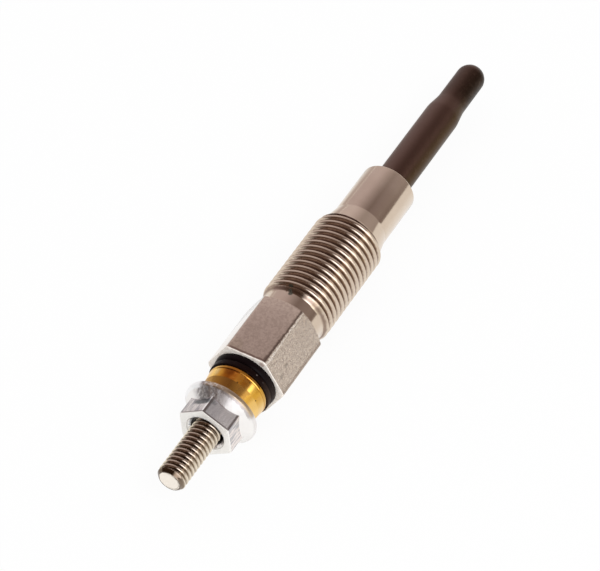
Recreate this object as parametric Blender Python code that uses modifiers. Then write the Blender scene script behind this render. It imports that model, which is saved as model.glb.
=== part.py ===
# A diesel glow plug, lying on a flat of its hexagon.
# The plug's own axis runs along +X, from the terminal stud to the heater tip.
# The origin is on the floor, under the middle of the plug's length.

import math

import bmesh
import bpy
import numpy as np
from mathutils import Matrix

MM = 0.001

# Facets round every turned piece, the same on mating pieces so that their flats stay parallel
ROUND = 36
ROD_ROUND = 20
SMOOTH_ANGLE = math.radians(35)

# Gap kept between pieces that touch on the real plug
FIT = 0.05 * MM

# Terminal stud and centre rod
STUD_CREST_RADIUS = 1.95 * MM
STUD_PITCH = 0.7 * MM
STUD_THREAD_DEPTH = 0.40 * MM
STUD_PROUD = 8.5 * MM
STUD_END_CHAMFER = 0.28 * MM
STUD_THREAD_PAST_NUT = 1.4 * MM
ROD_RADIUS = 1.65 * MM
SPIGOT_RADIUS = 1.22 * MM
SPIGOT_LENGTH = 11.5 * MM

# Flange nut on the stud
NUT_ACROSS_FLATS = 6.9 * MM
NUT_HEIGHT = 4.15 * MM
NUT_FLANGE_RADIUS = 5.0 * MM
NUT_FLANGE_RIM = 0.55 * MM
NUT_FLANGE_CONE = 1.25 * MM
NUT_CORNER_BEVEL = 0.15 * MM
NUT_SINK_RADIUS = 2.5 * MM
NUT_TURN = math.radians(-5.4)

# Round brass nut that clamps the insulating bush
BRASS_RADIUS = 4.10 * MM
BRASS_LENGTH = 3.85 * MM
BRASS_LAND = 0.50 * MM
BRASS_GROOVE = 0.10 * MM
BRASS_BAND = 1.30 * MM
BRASS_BAND_END_RADIUS = 3.92 * MM
BRASS_BEVEL = 1.20 * MM
BRASS_NOSE_RADIUS = 3.35 * MM

# Insulating bush and its sealing ring, in the mouth of the body
BUSH_COLLAR_RADIUS = 4.28 * MM
BUSH_COLLAR = 0.75 * MM
BUSH_SLEEVE_RADIUS = 2.85 * MM
BUSH_SLEEVE = 3.4 * MM
RING_RADIUS = 3.62 * MM
RING_SECTION_RADIUS = 0.74 * MM
RING_SIDES = 12

# Threaded steel body
HEX_ACROSS_FLATS = 9.5 * MM
HEX_CORNER_RADIUS = 5.40 * MM
HEX_LENGTH = 10.1 * MM
HEX_NEAR_BEVEL = 0.10 * MM
CORNER_CHAMFER_ANGLE = math.radians(30)
MOUTH_RADIUS = 4.50 * MM
MOUTH_ANGLE = math.radians(45)
NECK_RADIUS = 4.35 * MM
NECK_LENGTH = 1.9 * MM
THREAD_CREST_RADIUS = 4.93 * MM
THREAD_DEPTH = 0.62 * MM
THREAD_PITCH = 1.0 * MM
THREAD_LENGTH = 15.3 * MM
THREAD_CHAMFER = 0.45 * MM
THREAD_RUN_IN = 0.4 * MM
THREAD_START_SLOPE = math.radians(35)
CONE_START_RADIUS = 4.40 * MM
CONE_LENGTH = 2.6 * MM
NOSE_RADIUS = 3.87 * MM
NOSE_LENGTH = 8.2 * MM
NOSE_BEVEL = 0.15 * MM
BODY_BORE_RADIUS = 2.60 * MM

# Heater tube
TUBE_RADIUS = 2.42 * MM
TUBE_TIP_RADIUS = 2.05 * MM
TUBE_WALL = 0.50 * MM
TUBE_HELD = 14.5 * MM
TUBE_WIDE_SHOWN = 15.6 * MM
TUBE_TAPER = 2.5 * MM
TUBE_TIP_STRAIGHT = 5.85 * MM
TUBE_TIP_RINGS = 5

# What the tube holds
SEAL_LENGTH = 2.6 * MM
COIL_WIRE_RADIUS = 0.19 * MM
COIL_CLEARANCE = 0.06 * MM
CONTROL_COIL_LENGTH = 12.5 * MM
CONTROL_COIL_TURNS = 8
HEATING_COIL_TURNS = 10
COIL_POINTS_PER_TURN = 10
COIL_JOINT_GAP = 0.15 * MM


# Stations along the plug's axis, worked out from the stud's end to the tip
STUD_END = 0.0
NUT_FACE = STUD_END + STUD_PROUD
NUT_SEAT = NUT_FACE + NUT_HEIGHT
BRASS_START = NUT_SEAT + FIT
BRASS_END = BRASS_START + BRASS_LENGTH
COLLAR_START = BRASS_END + FIT
COLLAR_END = COLLAR_START + BUSH_COLLAR
RING_CENTRE = COLLAR_END + FIT + RING_SECTION_RADIUS
# The ring rests in the body's conical mouth, one fit away from the cone all round
HEX_START = (
    RING_CENTRE
    + (RING_RADIUS - MOUTH_RADIUS) / math.tan(MOUTH_ANGLE)
    + (RING_SECTION_RADIUS + FIT) / math.sin(MOUTH_ANGLE)
)
HEX_END = HEX_START + HEX_LENGTH
THREAD_START = HEX_END + NECK_LENGTH
THREAD_END = THREAD_START + THREAD_LENGTH
NOSE_START = THREAD_END + CONE_LENGTH
NOSE_END = NOSE_START + NOSE_LENGTH
TUBE_START = NOSE_END - TUBE_HELD
TAPER_START = NOSE_END + TUBE_WIDE_SHOWN
TAPER_END = TAPER_START + TUBE_TAPER
TIP_CENTRE = TAPER_END + TUBE_TIP_STRAIGHT
TIP_END = TIP_CENTRE + TUBE_TIP_RADIUS
SLEEVE_END = COLLAR_END + BUSH_SLEEVE
SEAL_START = TUBE_START + FIT
SEAL_END = SEAL_START + SEAL_LENGTH
ROD_SHOULDER = TUBE_START - 2 * FIT
SPIGOT_END = ROD_SHOULDER + SPIGOT_LENGTH
TUBE_BORE_RADIUS = TUBE_RADIUS - TUBE_WALL
TIP_BORE_RADIUS = TUBE_TIP_RADIUS - TUBE_WALL
FILL_BORE_RADIUS = SPIGOT_RADIUS + FIT
COIL_RADIUS = FILL_BORE_RADIUS - COIL_CLEARANCE - COIL_WIRE_RADIUS
STUD_THREAD_END = BRASS_END + STUD_THREAD_PAST_NUT

# The nut's flange is the widest thing that reaches the floor
AXIS_HEIGHT = max(
    NUT_FLANGE_RADIUS,
    THREAD_CREST_RADIUS,
    HEX_CORNER_RADIUS * math.cos(math.pi / 6),
)
# How far shapes that are joined run into each other, and how far cutters run past a face
OVERLAP = 0.4 * MM


def clear_scene():
    for obj in list(bpy.data.objects):
        bpy.data.objects.remove(obj, do_unlink=True)


def make_collection(name):
    collection = bpy.data.collections.new(name)
    bpy.context.scene.collection.children.link(collection)
    return collection


def make_material(name, colour, roughness, metallic):
    material = bpy.data.materials.new(name)
    material.use_nodes = True
    shader = material.node_tree.nodes["Principled BSDF"]
    shader.inputs["Base Color"].default_value = (*colour, 1.0)
    shader.inputs["Roughness"].default_value = roughness
    shader.inputs["Metallic"].default_value = metallic
    return material


def add_object(name, data, collection, material=None):
    """An object whose local Z is the plug's axis, carried by the axis empty."""
    obj = bpy.data.objects.new(name, data)
    collection.objects.link(obj)
    obj.parent = axis
    if material:
        data.materials.append(material)
    return obj


def as_cutter(obj):
    obj.hide_render = True
    obj.display_type = "WIRE"
    return obj


def turned(name, outline, collection, material=None, sides=ROUND, closed=False):
    """A turned piece: (radius, station) points swept round the axis.

    The points run from the high stations to the low ones on the outer side.
    A closed outline makes a ring; an open one starts and ends on the axis.
    """
    mesh = bpy.data.meshes.new(name)
    points = [(radius, 0.0, station) for radius, station in outline]
    edges = [(i, i + 1) for i in range(len(points) - 1)]
    if closed:
        edges.append((len(points) - 1, 0))
    mesh.from_pydata(points, edges, [])
    obj = add_object(name, mesh, collection, material)
    screw = obj.modifiers.new("Turn", "SCREW")
    screw.axis = "Z"
    screw.steps = sides
    screw.render_steps = sides
    screw.use_merge_vertices = True
    screw.merge_threshold = 0.001 * MM
    screw.use_smooth_shade = False
    return obj


def finish_round(obj):
    """Applies the modifiers and shades the round faces smooth, with the real edges sharp."""
    graph = bpy.context.evaluated_depsgraph_get()
    mesh = bpy.data.meshes.new_from_object(obj.evaluated_get(graph))
    obj.modifiers.clear()
    obj.data = mesh
    mesh.shade_smooth()
    mesh.set_sharp_from_angle(angle=SMOOTH_ANGLE)


def boolean(obj, operation, other):
    modifier = obj.modifiers.new(f"{operation.title()} {other.name}", "BOOLEAN")
    modifier.operation = operation
    modifier.solver = "EXACT"
    modifier.object = other


def hex_prism(name, across_flats, start, end, turn, collection, material=None):
    """A hexagonal bar with a flat facing up when turn is nought."""
    mesh = bpy.data.meshes.new(name)
    bm = bmesh.new()
    bmesh.ops.create_cone(
        bm,
        cap_ends=True,
        segments=6,
        radius1=across_flats / math.sqrt(3),
        radius2=across_flats / math.sqrt(3),
        depth=end - start,
    )
    # The primitive's first corner is on its Y axis, which lies level on the plug
    bmesh.ops.rotate(bm, verts=bm.verts, cent=(0, 0, 0), matrix=Matrix.Rotation(turn, 3, "Z"))
    bmesh.ops.translate(bm, verts=bm.verts, vec=(0, 0, (start + end) / 2))
    bm.to_mesh(mesh)
    bm.free()
    return add_object(name, mesh, collection, material)


def thread_bar(name, crest, depth, pitch, turning, sides):
    """A threaded bar, cut square at both ends, as a cutter-side shape to join on.

    Its points lie on helices. The turning is a list of (station, radius) that no point
    stands outside of, so it gives the run-in, the chamfer and the bar's two ends.
    """
    # One pitch of the section: share of the pitch, and height of the flank there
    section = ((0.0, 0.0), (0.44, 1.0), (0.56, 1.0))
    rows = len(section)
    stations, radii = zip(*turning)
    first, last = stations[0], stations[-1]
    turns = math.ceil((last - first) / pitch) + 3
    # The helix starts part of a facet off the square ends, so that no point falls on them
    base = first - (1.5 + 0.4 / sides) * pitch
    bm = bmesh.new()
    points = []
    for index in range(turns * rows * sides):
        row, side = divmod(index, sides)
        turn, step = divmod(row, rows)
        share, height = section[step]
        station = base + (turn + share + side / sides) * pitch
        radius = min(crest - depth * (1 - height), np.interp(station, stations, radii))
        angle = 2 * math.pi * side / sides
        points.append(bm.verts.new((radius * math.cos(angle), radius * math.sin(angle), station)))

    def corner(row, side):
        return points[(row + rows) * sides] if side == sides else points[row * sides + side]

    for row in range((turns - 1) * rows - 1):
        for side in range(sides):
            rim = ((row, side), (row, side + 1), (row + 1, side + 1), (row + 1, side))
            bm.faces.new([corner(*place) for place in rim])
    for station, facing in ((first, -1), (last, 1)):
        bmesh.ops.bisect_plane(
            bm,
            geom=bm.verts[:] + bm.edges[:] + bm.faces[:],
            plane_co=(0, 0, station),
            plane_no=(0, 0, facing),
            clear_outer=True,
        )
        bmesh.ops.holes_fill(bm, edges=[edge for edge in bm.edges if edge.is_boundary])
    bmesh.ops.recalc_face_normals(bm, faces=bm.faces)
    mesh = bpy.data.meshes.new(name)
    bm.to_mesh(mesh)
    bm.free()
    return as_cutter(add_object(name, mesh, cutters))


def make_housing():
    """The one steel body: hexagon, neck, thread and nose, bored right through."""
    hex_flat = HEX_ACROSS_FLATS / 2
    core = THREAD_CREST_RADIUS - THREAD_DEPTH - OVERLAP
    housing = turned(
        "housing",
        [
            (0, NOSE_END),
            (NOSE_RADIUS - NOSE_BEVEL, NOSE_END),
            (NOSE_RADIUS, NOSE_END - NOSE_BEVEL),
            (NOSE_RADIUS, NOSE_START),
            (CONE_START_RADIUS, THREAD_END),
            (CONE_START_RADIUS, THREAD_END - THREAD_CHAMFER),
            (core, THREAD_END - THREAD_CHAMFER),
            (core, THREAD_START + THREAD_RUN_IN),
            (NECK_RADIUS, THREAD_START + THREAD_RUN_IN),
            (NECK_RADIUS, HEX_END - OVERLAP),
            (0, HEX_END - OVERLAP),
        ],
        parts,
        steel,
    )
    # The hexagon is a bar whose corners and ends were turned down
    bar = hex_prism(
        "hexagon_bar", HEX_ACROSS_FLATS, HEX_START - OVERLAP, HEX_END + OVERLAP, 0, cutters
    )
    as_cutter(bar)
    end_slope = math.tan(CORNER_CHAMFER_ANGLE)
    envelope = turned(
        "hexagon_turning",
        [
            (0, HEX_END + (hex_flat - NECK_RADIUS + OVERLAP) * end_slope),
            (NECK_RADIUS - OVERLAP, HEX_END + (hex_flat - NECK_RADIUS + OVERLAP) * end_slope),
            (HEX_CORNER_RADIUS, HEX_END - (HEX_CORNER_RADIUS - hex_flat) * end_slope),
            (HEX_CORNER_RADIUS, HEX_START + HEX_NEAR_BEVEL),
            (HEX_CORNER_RADIUS - HEX_NEAR_BEVEL, HEX_START),
            (0, HEX_START),
        ],
        cutters,
    )
    as_cutter(envelope)
    boolean(bar, "INTERSECT", envelope)
    boolean(housing, "UNION", bar)
    # The thread runs up out of the neck and ends in a chamfer over the cone
    rise = (THREAD_CREST_RADIUS - NECK_RADIUS) / math.tan(THREAD_START_SLOPE)
    thread = thread_bar(
        "body_thread",
        THREAD_CREST_RADIUS,
        THREAD_DEPTH,
        THREAD_PITCH,
        [
            (THREAD_START - OVERLAP, NECK_RADIUS - OVERLAP * math.tan(THREAD_START_SLOPE)),
            (THREAD_START + rise, THREAD_CREST_RADIUS),
            (THREAD_END - THREAD_CHAMFER, THREAD_CREST_RADIUS),
            (THREAD_END + OVERLAP, THREAD_CREST_RADIUS - THREAD_CHAMFER - OVERLAP),
        ],
        ROUND,
    )
    boolean(housing, "UNION", thread)
    # Conical mouth for the ring, a bore for the bush, a long bore for the rod, a seat for the tube
    mouth_depth = (MOUTH_RADIUS - BUSH_SLEEVE_RADIUS - FIT) / math.tan(MOUTH_ANGLE)
    bore = turned(
        "body_bore",
        [
            (0, NOSE_END + OVERLAP),
            (TUBE_RADIUS + FIT, NOSE_END + OVERLAP),
            (TUBE_RADIUS + FIT, TUBE_START - FIT),
            (BODY_BORE_RADIUS, TUBE_START - FIT),
            (BODY_BORE_RADIUS, SLEEVE_END + FIT),
            (BUSH_SLEEVE_RADIUS + FIT, SLEEVE_END + FIT),
            (BUSH_SLEEVE_RADIUS + FIT, HEX_START + mouth_depth),
            (MOUTH_RADIUS + OVERLAP * math.tan(MOUTH_ANGLE), HEX_START - OVERLAP),
            (0, HEX_START - OVERLAP),
        ],
        cutters,
    )
    as_cutter(bore)
    boolean(housing, "DIFFERENCE", bore)
    return housing


def make_centre_rod():
    """One rod: the threaded terminal stud, the plain shank and the thin spigot in the tube."""
    rod = turned(
        "centre_rod",
        [
            (0, SPIGOT_END),
            (SPIGOT_RADIUS, SPIGOT_END),
            (SPIGOT_RADIUS, ROD_SHOULDER),
            (ROD_RADIUS, ROD_SHOULDER),
            (ROD_RADIUS, STUD_THREAD_END - OVERLAP),
            (0, STUD_THREAD_END - OVERLAP),
        ],
        parts,
        nickel,
        ROD_ROUND,
    )
    thread = thread_bar(
        "stud_thread",
        STUD_CREST_RADIUS,
        STUD_THREAD_DEPTH,
        STUD_PITCH,
        [
            (STUD_END, STUD_CREST_RADIUS - STUD_END_CHAMFER),
            (STUD_END + STUD_END_CHAMFER, STUD_CREST_RADIUS),
            (STUD_THREAD_END - (STUD_CREST_RADIUS - ROD_RADIUS), STUD_CREST_RADIUS),
            (STUD_THREAD_END + OVERLAP, ROD_RADIUS - OVERLAP),
        ],
        ROD_ROUND,
    )
    boolean(rod, "UNION", thread)
    return rod


def make_flange_nut():
    """Hexagon and washer flange formed as one, bored to pass the stud's thread."""
    corner = NUT_ACROSS_FLATS / math.sqrt(3)
    bore = STUD_CREST_RADIUS + FIT
    nut = turned(
        "flange_nut",
        [
            (0, NUT_SEAT),
            (NUT_FLANGE_RADIUS - NUT_CORNER_BEVEL, NUT_SEAT),
            (NUT_FLANGE_RADIUS, NUT_SEAT - NUT_CORNER_BEVEL),
            (NUT_FLANGE_RADIUS, NUT_SEAT - NUT_FLANGE_RIM),
            (NUT_ACROSS_FLATS / 2, NUT_SEAT - NUT_FLANGE_RIM - NUT_FLANGE_CONE),
            (0, NUT_SEAT - NUT_FLANGE_RIM - NUT_FLANGE_CONE),
        ],
        parts,
        zinc,
    )
    bar = hex_prism(
        "nut_bar",
        NUT_ACROSS_FLATS,
        NUT_FACE - OVERLAP,
        NUT_SEAT - NUT_FLANGE_RIM / 2,
        math.pi / 6 + NUT_TURN,
        cutters,
    )
    as_cutter(bar)
    envelope = turned(
        "nut_turning",
        [
            (0, NUT_SEAT),
            (corner + OVERLAP, NUT_SEAT),
            (corner + OVERLAP, NUT_FACE + (OVERLAP + NUT_CORNER_BEVEL) * math.tan(CORNER_CHAMFER_ANGLE)),
            (corner - NUT_CORNER_BEVEL, NUT_FACE),
            (0, NUT_FACE),
        ],
        cutters,
    )
    as_cutter(envelope)
    boolean(bar, "INTERSECT", envelope)
    boolean(nut, "UNION", bar)
    hole = turned(
        "nut_bore",
        [
            (0, NUT_SEAT + OVERLAP),
            (bore, NUT_SEAT + OVERLAP),
            (bore, NUT_FACE + NUT_SINK_RADIUS - bore),
            (NUT_SINK_RADIUS + OVERLAP, NUT_FACE - OVERLAP),
            (0, NUT_FACE - OVERLAP),
        ],
        cutters,
    )
    as_cutter(hole)
    boolean(nut, "DIFFERENCE", hole)
    return nut


def make_brass_nut():
    """A plain round nut: a land, a fine groove, a band and a long bevel."""
    bore = STUD_CREST_RADIUS + FIT
    land = BRASS_END - BRASS_LAND
    band = land - BRASS_BAND
    return turned(
        "brass_nut",
        [
            (bore, BRASS_END),
            (BRASS_RADIUS, BRASS_END),
            (BRASS_RADIUS, land + BRASS_GROOVE),
            (BRASS_RADIUS - BRASS_GROOVE, land),
            (BRASS_RADIUS - BRASS_GROOVE / 4, land - BRASS_GROOVE),
            (BRASS_BAND_END_RADIUS, band),
            (BRASS_NOSE_RADIUS, band - BRASS_BEVEL),
            (BRASS_NOSE_RADIUS, BRASS_START),
            (bore, BRASS_START),
        ],
        parts,
        brass,
        closed=True,
    )


def make_insulating_bush():
    """A collar that the brass nut presses on, and a sleeve round the rod."""
    bore = STUD_CREST_RADIUS + FIT
    return turned(
        "insulating_bush",
        [
            (bore, SLEEVE_END),
            (BUSH_SLEEVE_RADIUS, SLEEVE_END),
            (BUSH_SLEEVE_RADIUS, COLLAR_END),
            (BUSH_COLLAR_RADIUS - FIT, COLLAR_END),
            (BUSH_COLLAR_RADIUS, COLLAR_END - FIT),
            (BUSH_COLLAR_RADIUS, COLLAR_START + FIT),
            (BUSH_COLLAR_RADIUS - FIT, COLLAR_START),
            (bore, COLLAR_START),
        ],
        parts,
        phenolic,
        closed=True,
    )


def make_sealing_ring():
    """The black rubber ring squeezed between the collar and the body's mouth."""
    outline = []
    for side in range(RING_SIDES):
        angle = -2 * math.pi * side / RING_SIDES
        outline.append(
            (
                RING_RADIUS + RING_SECTION_RADIUS * math.cos(angle),
                RING_CENTRE + RING_SECTION_RADIUS * math.sin(angle),
            )
        )
    return turned("sealing_ring", outline, parts, rubber, closed=True)


def tube_outline(offset):
    """The tube's side from its round end back to its mouth, moved in by offset."""
    tip = TUBE_TIP_RADIUS - offset
    outline = []
    for ring in range(TUBE_TIP_RINGS):
        angle = math.pi / 2 * (1 - ring / TUBE_TIP_RINGS)
        outline.append((tip * math.cos(angle), TIP_CENTRE + tip * math.sin(angle)))
    outline[0] = (0, TIP_CENTRE + tip)
    outline += [(tip, TIP_CENTRE), (tip, TAPER_END), (TUBE_RADIUS - offset, TAPER_START)]
    return outline


def make_heater_tube():
    """A closed tube, swaged down to its thinner tip, open at the end in the body."""
    outside = tube_outline(0)
    inside = tube_outline(TUBE_WALL)
    outline = outside + [(TUBE_RADIUS, TUBE_START), (TUBE_BORE_RADIUS, TUBE_START)]
    return turned("heater_tube", outline + inside[::-1], parts, scorched)


def make_tube_seal():
    """The rubber plug in the tube's mouth, round the spigot."""
    return turned(
        "tube_seal",
        [
            (FILL_BORE_RADIUS, SEAL_END),
            (TUBE_BORE_RADIUS - FIT, SEAL_END),
            (TUBE_BORE_RADIUS - FIT, SEAL_START),
            (FILL_BORE_RADIUS, SEAL_START),
        ],
        parts,
        seal_rubber,
        closed=True,
    )


def make_fill():
    """The packed insulating powder between the tube and the spigot and coils."""
    outline = [point for point in tube_outline(TUBE_WALL + FIT) if point[0] > FILL_BORE_RADIUS]
    foot = SEAL_END + FIT
    end = outline[0][1]
    outline = [(FILL_BORE_RADIUS, end)] + outline
    outline += [(TUBE_BORE_RADIUS - FIT, foot), (FILL_BORE_RADIUS, foot)]
    return turned("insulating_powder", outline, parts, magnesia, closed=True)


def coil_points(start, end, turns, lead_in, lead_out):
    """A helix whose leads run in to the axis, at the rod's end and at the tip."""
    steps = turns * COIL_POINTS_PER_TURN
    lead = COIL_POINTS_PER_TURN // 2
    points = []
    for step in range(steps + 1):
        angle = 2 * math.pi * step / COIL_POINTS_PER_TURN
        radius = COIL_RADIUS
        if lead_in:
            radius *= min(1.0, step / lead)
        if lead_out:
            radius *= min(1.0, (steps - step) / lead)
        z = start + (end - start) * step / steps
        points.append((radius * math.cos(angle), radius * math.sin(angle), z))
    return points


def make_coil(name, points, material):
    curve = bpy.data.curves.new(name, "CURVE")
    curve.dimensions = "3D"
    curve.bevel_depth = COIL_WIRE_RADIUS
    curve.bevel_resolution = 1
    curve.use_fill_caps = True
    spline = curve.splines.new("POLY")
    spline.points.add(len(points) - 1)
    for point, place in zip(spline.points, points):
        point.co = (*place, 1.0)
    return add_object(name, curve, parts, material)


def make_coils():
    """The control coil on the rod's end, then the heating coil down to the tip."""
    first = SPIGOT_END + COIL_WIRE_RADIUS + FIT
    joint = first + CONTROL_COIL_LENGTH
    last = TIP_CENTRE + TIP_BORE_RADIUS - COIL_WIRE_RADIUS - COIL_CLEARANCE
    make_coil(
        "control_coil",
        coil_points(first, joint, CONTROL_COIL_TURNS, True, False),
        coil_steel,
    )
    make_coil(
        "heating_coil",
        coil_points(
            joint + 2 * COIL_WIRE_RADIUS + COIL_JOINT_GAP, last, HEATING_COIL_TURNS, False, True
        ),
        coil_alloy,
    )


clear_scene()
parts = make_collection("glow_plug")
cutters = make_collection("cutters")

# Local Z of every piece points along world +X once the axis empty is turned
axis = bpy.data.objects.new("plug_axis", None)
parts.objects.link(axis)
axis.location = (-(STUD_END + TIP_END) / 2, 0, AXIS_HEIGHT)
axis.rotation_euler = (0, math.pi / 2, 0)

steel = make_material("nickel_plated_steel", (0.42, 0.35, 0.32), 0.32, 1.0)
nickel = make_material("bright_nickel_stud", (0.46, 0.39, 0.31), 0.26, 1.0)
zinc = make_material("zinc_plated_nut", (0.62, 0.61, 0.62), 0.30, 1.0)
brass = make_material("polished_brass", (0.72, 0.43, 0.10), 0.20, 1.0)
phenolic = make_material("black_insulator", (0.02, 0.018, 0.018), 0.40, 0.0)
rubber = make_material("black_ring_rubber", (0.008, 0.008, 0.008), 0.30, 0.0)
scorched = make_material("dark_tube_metal", (0.055, 0.035, 0.028), 0.45, 0.8)
seal_rubber = make_material("seal_rubber", (0.10, 0.05, 0.03), 0.60, 0.0)
magnesia = make_material("packed_powder", (0.78, 0.76, 0.70), 0.95, 0.0)
coil_steel = make_material("control_coil_wire", (0.45, 0.44, 0.42), 0.45, 1.0)
coil_alloy = make_material("heating_coil_wire", (0.36, 0.34, 0.32), 0.50, 1.0)

round_pieces = [
    make_housing(),
    make_centre_rod(),
    make_flange_nut(),
    make_brass_nut(),
    make_insulating_bush(),
    make_sealing_ring(),
    make_heater_tube(),
    make_tube_seal(),
    make_fill(),
]
for piece in round_pieces:
    finish_round(piece)
make_coils()
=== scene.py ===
# %% [markdown]
# The looks of a diesel glow plug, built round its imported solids.
# The plug is a slim turned part: a threaded stud with its nut, a brass nut, a black bush and
# ring, a steel body with a hexagon and a fine thread, and a dark heater tube.
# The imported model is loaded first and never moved. Every piece made here takes its place from it.

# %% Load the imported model
import contextlib
import math

import bpy
import numpy as np
from mathutils import Matrix, Vector


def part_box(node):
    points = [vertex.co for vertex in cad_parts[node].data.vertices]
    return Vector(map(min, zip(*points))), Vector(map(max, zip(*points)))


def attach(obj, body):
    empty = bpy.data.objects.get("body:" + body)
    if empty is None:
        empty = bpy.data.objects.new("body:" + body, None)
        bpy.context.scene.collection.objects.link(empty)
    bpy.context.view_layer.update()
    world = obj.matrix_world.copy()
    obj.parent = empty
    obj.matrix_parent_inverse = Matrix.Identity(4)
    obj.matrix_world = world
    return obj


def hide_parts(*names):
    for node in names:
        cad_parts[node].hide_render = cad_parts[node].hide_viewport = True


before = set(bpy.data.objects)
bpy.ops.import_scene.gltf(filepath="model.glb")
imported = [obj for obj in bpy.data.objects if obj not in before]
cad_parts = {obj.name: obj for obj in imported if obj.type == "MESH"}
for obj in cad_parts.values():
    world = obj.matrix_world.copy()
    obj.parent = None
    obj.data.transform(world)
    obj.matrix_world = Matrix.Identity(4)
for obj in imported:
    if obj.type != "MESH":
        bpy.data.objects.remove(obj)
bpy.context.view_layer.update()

MM = 0.001
print("nodes:", ", ".join(sorted(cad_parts)))

# %% [markdown]
# The plug's axis runs along +X. Each turned piece is described by stations along that axis and
# radii round it, so the first thing to know is where the axis lies and where each node starts
# and ends. All of that is read from the nodes' boxes, so that a new piece sits where the solid is.

# %% Stations of the plug, from the boxes of its nodes
body_low, body_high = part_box("housing")
AXIS_HEIGHT = (body_low.z + body_high.z) / 2
HEX_START = body_low.x
NOSE_END = body_high.x
STUD_END, SPIGOT_END = (corner.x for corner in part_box("centre_rod"))
NUT_FACE, NUT_SEAT = (corner.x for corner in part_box("flange_nut"))
BRASS_START, BRASS_END = (corner.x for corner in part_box("brass_nut"))
COLLAR_START, SLEEVE_END = (corner.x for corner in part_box("insulating_bush"))
TUBE_START, TIP_END = (corner.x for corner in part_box("heater_tube"))
print("axis height", round(AXIS_HEIGHT / MM, 3), "mm; body", HEX_START / MM, "to", NOSE_END / MM)

# %% [markdown]
# The photograph looks down on the plug from beyond its stud end, with a long lens, so the plug
# runs from the lower left to the upper right with little perspective. A camera is placed by the
# point it looks at, its distance, its heading and its downward tilt.

# %% Camera at the photograph's view
AIM = Vector((-5.749 * MM, 1.742 * MM, AXIS_HEIGHT))
AIM_DISTANCE = 347.69 * MM
HEADING = math.radians(28.796)
DOWN_TILT = math.radians(48.195)
ROLL = math.radians(0.540)
LENS = 162
FILM_WIDTH = 36

toward = Vector(
    (
        math.cos(DOWN_TILT) * math.cos(HEADING),
        math.cos(DOWN_TILT) * math.sin(HEADING),
        -math.sin(DOWN_TILT),
    )
)
camera_data = bpy.data.cameras.new("camera")
camera_data.lens = LENS
camera_data.sensor_width = FILM_WIDTH
camera_data.clip_start = 0.01
camera_data.clip_end = 20
camera = bpy.data.objects.new("camera", camera_data)
bpy.context.scene.collection.objects.link(camera)
facing = toward.to_track_quat("-Z", "Y").to_matrix().to_4x4()
camera.matrix_world = (
    Matrix.Translation(AIM - toward * AIM_DISTANCE) @ facing @ Matrix.Rotation(ROLL, 4, "Z")
)
bpy.context.scene.camera = camera
bpy.context.scene.view_settings.view_transform = "Standard"
print("camera at", [round(v / MM, 1) for v in camera.matrix_world.translation], "mm")

# %% [markdown]
# Node materials are easier to read as sums than as a list of links. A small class wraps a
# socket, so that an expression such as 1 - mask adds the Math nodes it needs. Every other node
# comes from one method that takes its type, its settings and what its sockets are given.

# %% A socket that can be added and multiplied
def maths(operation, *values):
    """A Math node on some values, at least one of which is a wire."""
    wire = next(value for value in values if isinstance(value, Wire))
    return wire.nodes.add("ShaderNodeMath", {"operation": operation}, dict(enumerate(values)))


class Wire:
    """A socket of a node tree. Sums of wires add Math nodes."""

    def __init__(self, nodes, socket):
        self.nodes = nodes
        self.socket = socket

    def output(self, name):
        """Another output of the same node."""
        return Wire(self.nodes, self.socket.node.outputs[name])

    def __add__(self, other):
        return maths("ADD", self, other)

    def __radd__(self, other):
        return maths("ADD", other, self)

    def __sub__(self, other):
        return maths("SUBTRACT", self, other)

    def __rsub__(self, other):
        return maths("SUBTRACT", other, self)

    def __mul__(self, other):
        return maths("MULTIPLY", self, other)

    def __rmul__(self, other):
        return maths("MULTIPLY", other, self)


class Nodes:
    """The node tree of a material or a world, and the one method that adds nodes to it."""

    def __init__(self, owner):
        owner.use_nodes = True
        self.owner = owner
        self.tree = owner.node_tree
        self.tree.nodes.clear()

    def add(self, kind, settings=None, sockets=None, output=0):
        node = self.tree.nodes.new(kind)
        for name, value in (settings or {}).items():
            if name == "stops":
                self.set_stops(node.color_ramp, value)
            else:
                setattr(node, name, value)
        for name, value in (sockets or {}).items():
            if isinstance(value, Wire):
                self.tree.links.new(value.socket, node.inputs[name])
            else:
                node.inputs[name].default_value = value
        return Wire(self, node.outputs[output]) if len(node.outputs) else None

    def set_stops(self, ramp, stops):
        while len(ramp.elements) < len(stops):
            ramp.elements.new(1.0)
        for element, (place, colour) in zip(ramp.elements, stops):
            element.position = place
            element.color = (*colour, 1.0)


print("shader helpers ready")

# %% [markdown]
# Two kinds of helper come back in every finish. The first say where a point is on the plug, as
# a station, an angle and a radius. The others shape a value: a soft step between two limits, a
# band with soft edges, noise that may be stretched along the plug, and noise that makes a
# straight limit ragged.

# %% Where a point is, and how a value rises
def centred_place(nodes):
    """The object coordinates, with the plug's axis at nought."""
    where = nodes.add("ShaderNodeTexCoord", output=3)
    down = (0, 0, -AXIS_HEIGHT)
    return nodes.add(
        "ShaderNodeMapping", {"vector_type": "POINT"}, {"Vector": where, "Location": down}
    )


def apart(where):
    """The x, y and z of a place."""
    split = where.nodes.add("ShaderNodeSeparateXYZ", None, {"Vector": where})
    return [split.output(name) for name in "XYZ"]


def radius_of(y, z):
    return maths("SQRT", y * y + z * z)


def degrees_round(y, z):
    """The angle round the axis: nought on top, rising towards the camera's side."""
    return maths("ARCTAN2", y * -1.0, z) * (180 / math.pi)


def soft_step(value, low, high):
    """Nought below low, one above high. With low above high it runs the other way."""
    return value.nodes.add(
        "ShaderNodeMapRange",
        {"interpolation_type": "SMOOTHSTEP", "clamp": True},
        {"Value": value, "From Min": low, "From Max": high, "To Min": 0.0, "To Max": 1.0},
    )


def band(value, low, high, edge):
    """One between low and high, with soft edges."""
    rises = soft_step(value, low - edge, low + edge)
    return rises * soft_step(value, high + edge, high - edge)


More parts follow.
